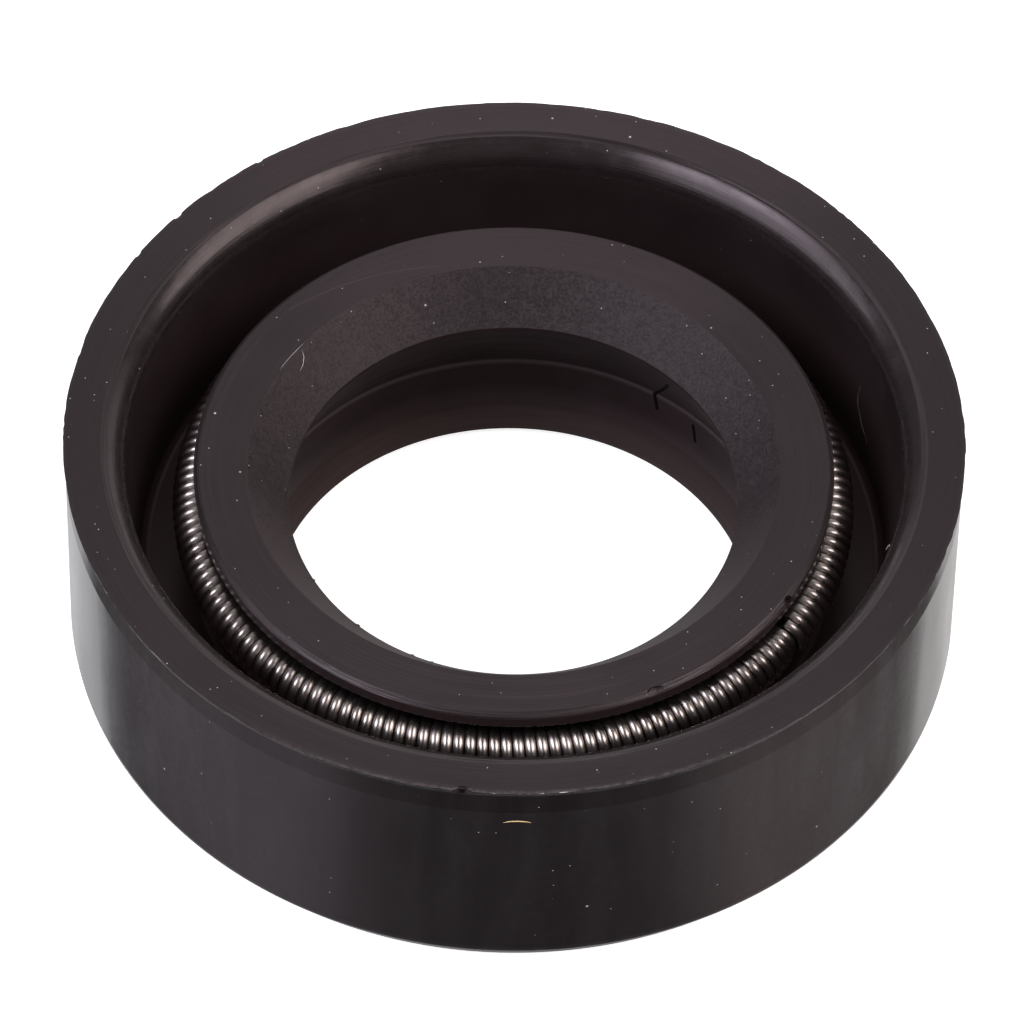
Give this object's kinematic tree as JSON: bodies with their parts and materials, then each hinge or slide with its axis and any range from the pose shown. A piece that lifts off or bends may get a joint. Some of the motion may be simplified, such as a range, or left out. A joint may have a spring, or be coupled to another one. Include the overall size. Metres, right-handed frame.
{
  "type": "radial shaft seal",
  "caption": "Rubber-covered radial shaft seal with a garter-sprung sealing lip and a dust lip, for a 12 mm shaft in a 22 mm housing bore.",
  "frame": {"origin": "centre of the back face, on the shaft's axis", "axes": "+Z along the shaft's axis, from the back face towards the open side with the spring"},
  "size_m": [0.022, 0.022, 0.007],
  "materials": {
    "nitrile_rubber": "satin",
    "spring_steel": "drawn wire, oiled",
    "case_steel": "bare pressed sheet, bonded in the rubber"
  },
  "bodies": {
    "root": {"seal_body": "nitrile_rubber", "garter_spring": "spring_steel", "steel_case": "case_steel"}
  },
  "joints": []
}
